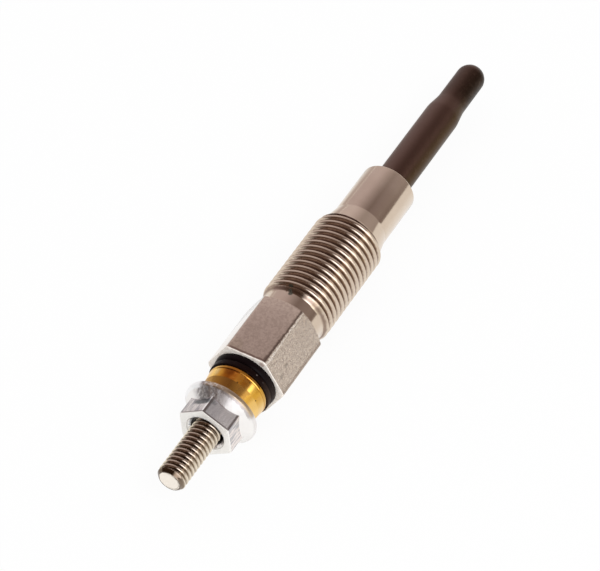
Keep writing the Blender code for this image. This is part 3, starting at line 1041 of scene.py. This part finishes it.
inner_tip = TUBE_TIP_RADIUS - TUBE_WALL
inner = TUBE_RADIUS - TUBE_WALL
bends = [
    (taper_end, TUBE_TIP_RADIUS, SWAGE_FILLET),
    (taper_start, TUBE_RADIUS, SWAGE_FILLET),
    (TUBE_START, TUBE_RADIUS, TUBE_EDGE),
    (TUBE_START, inner, TUBE_EDGE),
    (taper_start, inner, 0),
    (taper_end, inner_tip, 0),
]
tube = turned(
    "heater_tube_dressed",
    round_end(TUBE_TIP_RADIUS)[::-1] + bends + round_end(inner_tip),
    TUBE_SIDES,
)
smooth(tube)

# %% [markdown]
# The body's steel is plated with a thin, slightly warm coat. Turned faces are polished with
# fine rings, and the hexagon's drawn flats are grainier, every other one roughly so. The
# finish tells its places apart by station, radius and angle, so these and the noises that all
# its layers share come first.

# %% Steel: noises and zones
TURNED_RINGS = (14, 1, 1)

nodes = new_finish("plated_steel")
where = centred_place(nodes)
x, y, z = apart(where)
radius = radius_of(y, z)
angle = degrees_round(y, z)
cloud = noise(where, 420, 4, 0.6)
rings = noise(where, 500, 3, 0.6, TURNED_RINGS)
grain = noise(where, 2600, 4, 0.75)
fine = noise(where, 9000, 2, 0.6)
streaks = noise(where, 900, 3, 0.6, (0.35, 4, 4))
ragged = noise(where, 2200, 3, 0.6)
wrinkle = soft_step(grain, 0.36, 0.64)

on_hex = soft_step(x, HEX_END + 0.45 * MM, HEX_END + 0.30 * MM)
on_hex = on_hex * soft_step(radius, 4.70 * MM, 4.74 * MM)
side_face = soft_step(x, HEX_START + 0.10 * MM, HEX_START + 0.22 * MM) * on_hex
near_face = soft_step(x, HEX_START + 0.22 * MM, HEX_START + 0.12 * MM)
odd = maths("FLOORED_MODULO", maths("FLOOR", angle * (1 / 60) + 6.5), 2.0)
even_face = side_face * (1.0 - odd)
odd_face = odd * side_face
print("steel zones ready")

# %% [markdown]
# The hexagon has been gripped. Its flats are mottled, and the left one is lit so strongly that
# the photograph shows it blank, so it gets a painted highlight of near white. The near face round
# the mouth is matt and blotched, and painted pale as a highlight. A ragged line of painted shade
# and one of painted highlight run along the upper right corner and widen towards the mouth, and
# another line of painted shade runs along the corner below. The top flat has an olive smear and
# a dark near edge with a small burr at its end, and the rough right flat has a few nicks.

# %% Steel: marks on the hexagon
scuff = soft_step(wrinkle, 0.45, 0.85) * odd * side_face
mottled = mix_colour(soft_step(grain, 0.40, 0.60), (0.90, 0.79, 0.69), (0.53, 0.45, 0.39))
blotched = near_face * soft_step(ragged, 0.48, 0.62)
# Painted highlight: the left flat is painted near white, as light blows it out.
blown_highlight = band(angle, -89, -31, 1.5) * side_face
olive = spot(where, (-21.9, 1.9, 4.75), 1.3, cloud)

by_mouth = soft_step(x, HEX_START + 6.0 * MM, HEX_START)
off_corner = ragged_by(angle - 30, ragged, 7) * (1.0 - by_mouth * 0.4)
# Painted shade and a painted highlight along the upper right corner, painted shade along the lower
# one.
corner_shade = band(off_corner, -2.2, 0.5, 0.8) * side_face
corner_highlight = band(off_corner, 1.5, 3.2, 0.8) * side_face
low_corner_shade = band(ragged_by(angle, ragged, 6), 85.5, 90, 1.0) * side_face
lip = ragged_by(x, ragged, 0.24 * MM)
lip_line = band(lip, HEX_START + 0.20 * MM, HEX_START + 0.50 * MM, 0.05 * MM)
lip_line = lip_line * band(angle, -27, 29, 3)
burr = spot(where, (-22.8, -2.35, 4.25), 0.45, ragged)
nick = strongest(
    spot(where, (-20.0, -4.2, 2.2), 0.26, grain, (0.45, 1, 1)),
    spot(where, (-21.5, -4.45, 1.8), 0.34, grain, (0.5, 1, 1)),
    spot(where, (-20.4, -5.35, 0.0), 0.24, ragged),
    spot(where, (-21.8, -5.25, 0.4), 0.20, ragged),
)
print("marks on the hexagon ready")

# %% [markdown]
# Brown residue sits in the roots of the body thread, up to a ragged limit. A dark smudge lies
# on its first turns, and past its middle is a spot that was rubbed.

# %% Steel: residue in the thread
on_thread = soft_step(x, THREAD_START, THREAD_START + 0.3 * MM)
on_thread = on_thread * soft_step(x, THREAD_END + 0.1 * MM, THREAD_END - 0.2 * MM)
uneven = ragged_by(radius, ragged, 0.30 * MM)
grime = soft_step(uneven, THREAD_CREST - 0.08 * MM, THREAD_CREST - 0.34 * MM) * on_thread
smudge = strongest(
    spot(where, (-10.90, 0.28, 4.33), 0.40, ragged),
    spot(where, (-10.45, 0.52, 4.35), 0.42, ragged),
    spot(where, (-9.95, 0.78, 4.45), 0.42, ragged),
)
rubbed = spot(where, (0.15, -4.4, 2.2), 0.55, ragged)
print("residue ready")

# %% [markdown]
# The layers are laid over the plate from the widest to the smallest. Only the matt near face,
# painted pale as a highlight, gives up some of its metal shine, and the wrinkles are a height, so
# that they catch the light.

# %% Steel: layers
colour = layered(
    mix_colour(cloud, (0.78, 0.67, 0.55), (0.66, 0.54, 0.43)),
    [
        (grime * 0.75, (0.19, 0.115, 0.085)),
        (side_face * streaks * 0.3, (0.56, 0.48, 0.41)),
        (olive * side_face * 0.35, (0.56, 0.48, 0.30)),
        (even_face * 0.34, mottled),
        # Painted highlight: the near face is painted pale.
        (near_face, (1.0, 0.94, 0.87)),
        (blotched * 0.35, (0.62, 0.50, 0.42)),
        (odd_face * 0.45, (0.54, 0.46, 0.39)),
        (scuff * 0.5, (0.42, 0.35, 0.29)),
        (blown_highlight * 0.85, (1.0, 0.98, 0.95)),
        (corner_highlight * 0.6, (1.0, 0.93, 0.84)),
        (corner_shade * 0.75, (0.22, 0.16, 0.13)),
        (low_corner_shade * 0.6, (0.30, 0.22, 0.17)),
        (lip_line * 0.75, (0.24, 0.15, 0.12)),
        (burr * 0.6, (0.40, 0.22, 0.18)),
        (nick * 0.6, (0.34, 0.29, 0.24)),
        (smudge * 0.9, (0.13, 0.14, 0.11)),
        (rubbed * 0.5, (0.50, 0.40, 0.28)),
    ],
)
rough = 0.11 + cloud * 0.06 + side_face * (0.10 - odd * 0.14) + on_thread * 0.03
height = rings * 0.10 + side_face * (fine * 0.35 + streaks * 0.12)
height = height + (side_face - blown_highlight) * odd * wrinkle * 5.0 + nick * ragged * 2.5
steel_finish = close_finish(
    nodes,
    colour,
    metallic=1.0 - near_face * 0.8,
    rough=rough + smudge * 0.3 + near_face * 0.3,
    normal=bump(height, 0.016 * MM),
)

# %% [markdown]
# The stud is nickel plated and a little yellower. Its roots hold painted shade, nearly black on
# the left and lighter on the right, and painted shade dims the plate over the top and on the
# half-lit side beyond it. The cut end is pale, with a scratched ring on it, painted shade on its
# chamfer and a dark rim of painted shade.

# %% Finish: stud
nodes = new_finish("stud_nickel")
where = centred_place(nodes)
x, y, z = apart(where)
radius = radius_of(y, z)
cloud = noise(where, 900, 3, 0.6)
grain = noise(where, 9000, 2, 0.6)
ragged = noise(where, 2500, 2, 0.6)
uneven = ragged_by(radius, ragged, 0.24 * MM)
angle = ragged_by(degrees_round(y, z), ragged, 20)

on_end = soft_step(x, STUD_END + 0.03 * MM, STUD_END + 0.01 * MM)
past_end = 1.0 - on_end
root = soft_step(uneven, STUD_CREST - 0.04 * MM, STUD_CREST - 0.20 * MM) * past_end
# Painted shade in the roots: nearly black on the left, lighter on the lit right.
shaded_root = root * (0.88 - band(angle, 32, 110, 14) * 0.28)
left_root_shade = root * band(angle, -125, -44, 8)
# Painted shade dims the plate over the top and on the half-lit side.
top_shade = band(angle, -40, 24, 9) * past_end
half_lit_shade = band(angle, 20, 62, 12) * past_end
# Painted shade on the chamfer of the cut end.
chamfer_shade = band(x, STUD_END + 0.03 * MM, STUD_END + STUD_CHAMFER, 0.03 * MM)
scratch = band(radius, 1.24 * MM, 1.34 * MM, 0.04 * MM) * on_end
scratch = scratch * soft_step(y, 0.9 * MM, -0.2 * MM) * soft_step(ragged, 0.25, 0.5)
# Painted shade: a dark rim round the cut end.
edge = soft_step(uneven, 1.40 * MM, 1.44 * MM) * on_end
colour = layered(
    mix_colour(cloud, (0.84, 0.74, 0.60), (0.72, 0.62, 0.48)),
    [
        (top_shade * 0.4, (0.50, 0.39, 0.33)),
        (half_lit_shade * 0.45, (0.48, 0.40, 0.34)),
        (shaded_root, (0.13, 0.080, 0.05)),
        (left_root_shade * 0.85, (0.03, 0.022, 0.016)),
        (chamfer_shade * 0.7, (0.17, 0.12, 0.08)),
        (on_end, (0.98, 0.90, 0.80)),
        (scratch * 0.75, (0.36, 0.30, 0.23)),
        (edge, (0.16, 0.12, 0.09)),
    ],
)
stud_finish = close_finish(
    nodes,
    colour,
    metallic=1.0 - (on_end - edge) * 0.35,
    rough=0.10 + cloud * 0.06 + on_end * (0.14 + ragged * 0.15),
    normal=bump(grain * 0.4 + cloud + scratch * 3.0, 0.006 * MM),
)

# %% [markdown]
# The flange nut is zinc plated: nearly white and satin, with fine brushed streaks that run
# slantwise over it. Whether a point is on the flange or on the hexagon is told by its height
# above the flange's cone, so that the two meet exactly where the hexagon stands on it.

# %% Zinc: noises and zones
nodes = new_finish("nut_zinc")
where = centred_place(nodes)
x, y, z = apart(where)
radius = radius_of(y, z)
angle = degrees_round(y, z)
cloud = noise(where, 700, 4, 0.6)
scuff = noise(where, 1500, 4, 0.7, (1, 2.2, 1))
grain = noise(where, 9000, 2, 0.6)
slant = noise(where, 900, 3, 0.6, (0.5, 3, 3), (0, 0, 0.7))

above_cone = radius - ((x - cone_top) * CONE_FLARE + CONE_FOOT)
on_flange = soft_step(above_cone, 0.10 * MM, 0.03 * MM)
on_facets = (1.0 - on_flange) * soft_step(x, NUT_FACE + 0.15 * MM, NUT_FACE + 0.3 * MM)
on_middle = band(angle, -4, 53, 1) * on_facets
# Painted shade: the left and right facets are painted in darker tones.
left_facet_shade = on_facets * soft_step(angle, -4, -7)
right_facet_shade = on_facets * soft_step(angle, 53, 56)
on_face = soft_step(x, NUT_FACE + 0.20 * MM, NUT_FACE + 0.05 * MM)
# Painted shade: the bore is painted near black, for the gap round the stud.
inside = soft_step(radius, 2.40 * MM, 2.22 * MM)
print("zinc zones ready")

# %% [markdown]
# Grey grime is rubbed into the top of the flange, with bright flecks in it, and painted shade
# dims part of its top. A dark painted shadow lies where the left facet meets the cone. The rim
# gets a painted highlight of white on the left and painted shade, partly tinted like brass, on
# the right.

# %% Zinc: marks on the flange
on_top = on_flange * band(angle, -46, 8, 10)
# Painted shade dims part of the flange's top.
dim_shade = band(angle, -38, -14, 5) * on_flange
stain = soft_step(scuff, 0.44, 0.54) * on_top
fleck = soft_step(noise(where, 2600, 3, 0.7), 0.50, 0.60) * on_top
rim = soft_step(radius, 4.82 * MM, 4.90 * MM)
rim_line = rim * soft_step(slant, 0.2, 0.6)
# Painted shade on the rim's right side, part of it tinted like brass.
brassy_rim_shade = rim * band(angle, -26, 66, 5)
right_rim_shade = soft_step(ragged_by(radius, scuff, 0.5 * MM), 4.52 * MM, 4.68 * MM)
right_rim_shade = right_rim_shade * band(angle, -10, 68, 6)
# Painted highlight: the rim is painted white on the left.
washout_highlight = band(angle, -85, -33, 4) * soft_step(radius, 4.5 * MM, 4.7 * MM)
lit = band(angle, 26, 150, 6) * on_flange * (1.0 - right_rim_shade)
shadow = spot(where, (-30.70, 1.35, 3.1), 1.0, scuff, (1.5, 0.45, 0.6))
print("marks on the flange ready")

# %% [markdown]
# The edges of the hexagon get painted shade as dark creases, with one painted highlight line
# beside them, and a line of painted shade runs along the hexagon's foot on the flange. The middle
# facet is the smoothest and has painted shade towards its left, and the face that the stud comes
# out of is matt, with painted shade round the hole.

# %% Zinc: marks on the hexagon
# Painted shade along the facets' edges, with a painted highlight line beside the left one.
crease_shade = band(x, NUT_FACE + 0.13 * MM, NUT_FACE + 0.32 * MM, 0.04 * MM)
crease_shade = strongest(
    crease_shade * band(angle, -62, 52, 3),
    band(angle, -5.0, -1.2, 0.8) * on_facets,
    band(angle, 50.8, 53.6, 0.6) * on_facets,
)
edge_highlight = band(angle, -9.5, -6.0, 0.6) * on_facets
# Painted shade along the hexagon's foot on the flange.
foot_shade = band(above_cone, 0.03 * MM, 0.16 * MM, 0.03 * MM) * band(angle, -5, 22, 4)
streak = soft_step(slant, 0.42, 0.58) * (on_facets - on_middle * 0.8)
shade = soft_step(ragged_by(angle, cloud, 50), 30, 2) * on_middle
# Painted shade round the hole in the face.
hole_shade = soft_step(ragged_by(radius, scuff, 0.6 * MM), 2.95 * MM, 2.70 * MM)
hole_shade = hole_shade * band(angle, -36, 80, 10)
print("marks on the nut's hexagon ready")

# %% [markdown]
# The layers follow. The side facets are painted darker and the bore near black as painted shade,
# and the middle facet gets a bluish white painted sheen. Where the photograph is blown out, on the
# face, the washed rim and the lit flange, the face and the rim are painted white as a painted
# highlight, and the zinc gives up some of its shine for an even pale surface.

# %% Zinc: layers
colour = layered(
    mix_colour(cloud, (0.97, 0.95, 0.92), (0.90, 0.875, 0.85)),
    [
        (dim_shade * (0.15 + scuff * 0.5), (0.40, 0.38, 0.38)),
        (stain * 0.62, (0.24, 0.22, 0.23)),
        (rim_line * 0.30, (0.52, 0.48, 0.48)),
        (washout_highlight, (1.0, 1.0, 1.0)),
        (right_rim_shade * 0.7, (0.40, 0.34, 0.32)),
        (brassy_rim_shade * 0.7, (0.62, 0.48, 0.30)),
        # Painted sheen: the middle facet is painted bluish white.
        (on_middle * 0.9, (0.98, 1.0, 1.0)),
        (shade * 0.45, (0.50, 0.52, 0.56)),
        (left_facet_shade * 0.5, (0.70, 0.69, 0.69)),
        (right_facet_shade * 0.7, (0.80, 0.70, 0.66)),
        (streak * 0.75, (0.36, 0.37, 0.40)),
        (fleck * 0.6, (0.86, 0.85, 0.87)),
        # Painted highlight: the face is painted white.
        (on_face, (1.0, 0.98, 0.94)),
        (hole_shade * 0.6, (0.42, 0.44, 0.50)),
        (foot_shade * 0.7, (0.30, 0.22, 0.22)),
        (edge_highlight * 0.9, (1.0, 0.98, 0.97)),
        (crease_shade * 0.75, (0.20, 0.17, 0.155)),
        (shadow * 0.85, (0.08, 0.10, 0.11)),
        # Painted shade: the bore is painted near black.
        (inside, (0.02, 0.018, 0.016)),
    ],
)
matt = lit * 0.6 + edge_highlight * 0.7 + washout_highlight * 0.6 + on_face * 0.65 + on_middle * 0.14
zinc_finish = close_finish(
    nodes,
    colour,
    metallic=1.0 - matt - fleck * 0.25,
    rough=0.18 + cloud * 0.10 + stain * 0.12 + on_flange * 0.12 + on_face * 0.28,
    normal=bump(grain * 0.4 + scuff * (0.5 + on_top) + slant * 1.6, 0.014 * MM),
)

# %% [markdown]
# The brass is bright where it was turned. Brown tarnish and painted shade run over its top in
# bands, between painted highlights, with a darker patch in it and a painted glint to its left.
# The land by the bush is browner, the groove has painted shade, and most of the bevel has painted
# shade that turns into a gold painted highlight on the right. There are a few tiny dark specks.

# %% Finish: brass
# A ring of tones round the axis: brown tarnish with painted shade and painted highlights.
BRASS_TARNISH_AND_LIGHT = [
    (-180, (0.80, 0.42, 0.06)),
    (-34, (0.98, 0.62, 0.16)),
    (-26, (0.86, 0.45, 0.06)),
    (-15, (0.42, 0.14, 0.012)),
    (-6, (0.36, 0.10, 0.010)),
    (3, (0.72, 0.25, 0.03)),
    (10, (1.00, 0.44, 0.06)),
    (19, (0.95, 0.42, 0.05)),
    (28, (0.80, 0.33, 0.04)),
    (40, (0.99, 0.66, 0.16)),
    (52, (0.82, 0.45, 0.06)),
    (60, (0.76, 0.42, 0.06)),
    (90, (0.86, 0.58, 0.22)),
    (180, (0.80, 0.42, 0.06)),
]

nodes = new_finish("brass")
where = centred_place(nodes)
x, y, z = apart(where)
cloud = noise(where, 600, 4, 0.6)
mottle = noise(where, 1700, 3, 0.6)
rings = noise(where, 600, 3, 0.6, TURNED_RINGS)
angle = ragged_by(degrees_round(y, z), mottle, 9)
on_land = soft_step(x, land - 0.02 * MM, land + 0.06 * MM)
on_bevel = soft_step(x, band_start + 0.05 * MM, band_start - 0.05 * MM)
# Painted shade in the fine groove.
groove_shade = band(x, land - 0.10 * MM, land + 0.04 * MM, 0.03 * MM)
patch = soft_step(cloud, 0.50, 0.66)
blot = soft_step(mottle, 0.50, 0.62) * band(angle, 2, 32, 5)
tarnish = spot(where, (-25.45, 0.75, 3.95), 0.75, cloud, (1, 0.8, 1))
# Painted glint: a pale yellow oval left of the tarnish.
painted_glint = spot(where, (-25.8, 2.30, 3.30), 0.5, mottle, (0.7, 1, 1))
speck = strongest(
    spot(where, (-26.45, -0.99, 3.77), 0.13, mottle),
    spot(where, (-25.5, -2.1, 3.4), 0.11, mottle),
    spot(where, (-26.4, -3.5, 1.7), 0.13, mottle),
)
colour = layered(
    tones_round(angle, BRASS_TARNISH_AND_LIGHT),
    [
        (patch * 0.3, (0.62, 0.25, 0.03)),
        (blot * 0.4, (1.0, 0.55, 0.12)),
        (tarnish * 0.6, (0.20, 0.05, 0.008)),
        (painted_glint * 0.5, (1.0, 0.78, 0.34)),
        (on_land * 0.45, (0.50, 0.24, 0.04)),
        # Painted shade on most of the bevel, turning into a gold painted highlight on its right.
        (on_bevel * band(angle, -75, 46, 4) * 0.8, (0.34, 0.17, 0.04)),
        (on_bevel * soft_step(angle, 46, 70) * 0.6, (0.98, 0.66, 0.24)),
        (groove_shade * 0.35, (0.30, 0.12, 0.02)),
        (speck * 0.85, (0.10, 0.05, 0.02)),
    ],
)
rough = 0.12 + cloud * 0.08 + speck * 0.3 + band(angle, 4, 22, 5) * 0.22
brass_finish = close_finish(
    nodes,
    colour,
    metallic=1.0,
    rough=rough + on_bevel * 0.06,
    normal=bump(rings * 0.3 + mottle * 0.6, 0.006 * MM),
)

# %% [markdown]
# The bush is moulded black plastic, a shade brown and dusty. The ring is glossy black rubber.
# Both share one recipe with different numbers: each gets a painted sheen in the dust's colour low
# on its near side, and two pale specks of dust lie on the bush.

# %% Finishes: bush and ring
def black_finish(name, base, dust_and_sheen_tint, dust_low, rough, depth):
    nodes = new_finish(name)
    where = centred_place(nodes)
    y, z = apart(where)[1:]
    cloud = noise(where, 1100, 4, 0.65)
    grain = noise(where, 7000, 3, 0.6)
    # Painted sheen: the near, lower side is painted lighter, in the dust's colour.
    low_sheen = band(degrees_round(y, z), 66, 130, 26) * (0.3 + cloud * 0.5)
    dust_and_sheen = strongest(soft_step(cloud, dust_low, 0.75), low_sheen)
    speck = strongest(
        spot(where, (-24.1, -2.4, 3.55), 0.12, grain, (1, 0.6, 1)),
        spot(where, (-24.2, -3.3, 2.7), 0.09, grain),
    )
    return close_finish(
        nodes,
        mix_colour(speck * 0.7, mix_colour(dust_and_sheen, base, dust_and_sheen_tint), (0.16, 0.13, 0.12)),
        metallic=0.0,
        rough=rough + cloud * 0.15 + dust_and_sheen * 0.2,
        normal=bump(grain + cloud, depth),
        specular=0.06,
    )


bush_finish = black_finish(
    "insulator_black", (0.007, 0.0022, 0.0018), (0.075, 0.045, 0.030), 0.60, 0.32, 0.008 * MM
)
ring_finish = black_finish(
    "ring_black", (0.005, 0.0022, 0.0026), (0.045, 0.030, 0.024), 0.66, 0.25, 0.005 * MM
)

# %% [markdown]
# The heater tube was oxidised in use or in brazing. It is a dark brown satin metal, faintly
# mottled and darkest at its tip. Its left side is painted paler and its right side darker as
# painted light and shade, and the tip is painted darker still on its right as painted shade.

# %% Finish: heater tube
nodes = new_finish("heater_sheath")
where = centred_place(nodes)
x, y, z = apart(where)
cloud = noise(where, 350, 5, 0.6)
blotch = noise(where, 1400, 3, 0.6)
grain = noise(where, 8000, 2, 0.6)
over = ragged_by(degrees_round(y, z), cloud, 16)
at_tip = soft_step(x, 31.5 * MM, 35.5 * MM)
colour = layered(
    # Painted light and shade: paler on the left, darker on the right, darkest on the tip's right.
    mix_colour(soft_step(over, -30, 22), (0.190, 0.127, 0.104), (0.145, 0.084, 0.064)),
    [
        (soft_step(over, 36, 62), (0.082, 0.047, 0.021)),
        (at_tip * (0.45 + soft_step(over, 0, 50) * 0.50), (0.032, 0.018, 0.010)),
        (soft_step(blotch, 0.50, 0.72) * 0.30, (0.15, 0.10, 0.07)),
    ],
)
sheath_finish = close_finish(
    nodes,
    colour,
    metallic=1.0,
    rough=0.32 + cloud * 0.10 + grain * 0.06,
    normal=bump(grain + blotch, 0.005 * MM),
)

# %% [markdown]
# Four pieces are hidden in the tube: a rubber plug, white powder and two coils. Their solids
# stay as they are and only get a finish with some grain in it, on the node itself.

# %% Finishes: what the tube holds
HIDDEN = [
    ("tube_seal", "seal_rubber", (0.10, 0.05, 0.03), (0.16, 0.08, 0.05)),
    ("insulating_powder", "packed_powder", (0.80, 0.78, 0.72), (0.66, 0.63, 0.57)),
    ("control_coil", "control_wire", (0.48, 0.46, 0.43), (0.36, 0.34, 0.32)),
    ("heating_coil", "heating_wire", (0.38, 0.35, 0.32), (0.26, 0.23, 0.21)),
]
GRAINS = [
    (0.0, 0.5, 900, 0.02 * MM),
    (0.0, 0.8, 3000, 0.04 * MM),
    (1.0, 0.3, 2500, 0.01 * MM),
    (1.0, 0.35, 2500, 0.01 * MM),
]

for (node, name, first, second), (metallic, rough, scale, depth) in zip(HIDDEN, GRAINS):
    nodes = new_finish(name)
    grain = noise(centred_place(nodes), scale, 4, 0.6)
    colour = mix_colour(grain, first, second)
    finish = close_finish(nodes, colour, metallic, rough + grain * 0.2, bump(grain, depth))
    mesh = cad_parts[node].data
    mesh.materials.clear()
    mesh.materials.append(finish)

# %% [markdown]
# Each new piece now gets its finish, rides on the plug's one body and stands for its solid.

# %% Dress the pieces
def dress(piece, material, node):
    piece.data.materials.clear()
    piece.data.materials.append(material)
    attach(piece, "root")
    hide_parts(node)


dress(body, steel_finish, "housing")
dress(stud, stud_finish, "centre_rod")
dress(nut, zinc_finish, "flange_nut")
dress(brass_nut, brass_finish, "brass_nut")
dress(bush, bush_finish, "insulating_bush")
dress(ring, ring_finish, "sealing_ring")
dress(tube, sheath_finish, "heater_tube")
